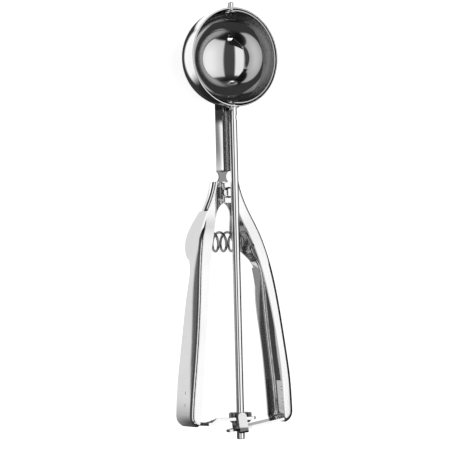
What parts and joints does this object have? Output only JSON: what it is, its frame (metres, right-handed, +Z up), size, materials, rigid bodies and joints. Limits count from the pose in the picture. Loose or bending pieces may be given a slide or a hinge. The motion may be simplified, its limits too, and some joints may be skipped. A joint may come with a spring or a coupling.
{
  "type": "lever ice cream scoop",
  "caption": "Squeeze-handle scoop with a round bowl, a wiper blade turned by a rack and pinion on a long rod, and a spring between two channel handles.",
  "frame": {"origin": "middle of the scoop's footprint, on the surface that it lies on", "axes": "+Y along the scoop towards the bowl, +Z up, out of the bowl's open side, +X across the handles to the right one"},
  "size_m": [0.0618, 0.2266, 0.0328],
  "materials": {
    "polished_steel": "polished",
    "mirror_steel": "mirror polished",
    "dark_steel": "sintered, slightly rough",
    "spring_wire": "drawn wire"
  },
  "bodies": {
    "frame": {"bowl": "mirror_steel", "stem": "polished_steel", "right_handle": "polished_steel", "guide_bar": "polished_steel", "guide_bar_rivets": "polished_steel", "guide_clip": "polished_steel", "pivot_rivet": "polished_steel", "pivot_spacer": "polished_steel", "pivot_washer": "polished_steel", "rod_bushing": "polished_steel", "return_spring": "spring_wire"},
    "left_lever": {"left_handle": "polished_steel", "toothed_rack": "polished_steel", "rack_rivets": "polished_steel"},
    "wiper": {"wiper_blade": "polished_steel", "blade_collar": "polished_steel", "top_pin": "polished_steel", "drive_rod": "polished_steel", "pinion": "dark_steel", "rod_spacer": "polished_steel"}
  },
  "joints": [
    {"name": "squeeze", "type": "hinge", "parent": "frame", "child": "left_lever", "pos_m": [0, 0.01541, 0.01044], "axis": [0, -0.0627, 0.998], "range_deg": [0, 7.37], "stiffness_Nm_per_rad": 0.6, "deforming": ["return_spring"]},
    {"name": "wiper_turn", "type": "hinge", "parent": "frame", "child": "wiper", "pos_m": [0, 0.08448, 0.0258], "axis": [0, 0.998, 0.0627], "range_deg": [0, 173.6]}
  ],
  "couplings": [
    {"joint": "wiper_turn", "follows": "squeeze", "ratio": 23.548}
  ]
}
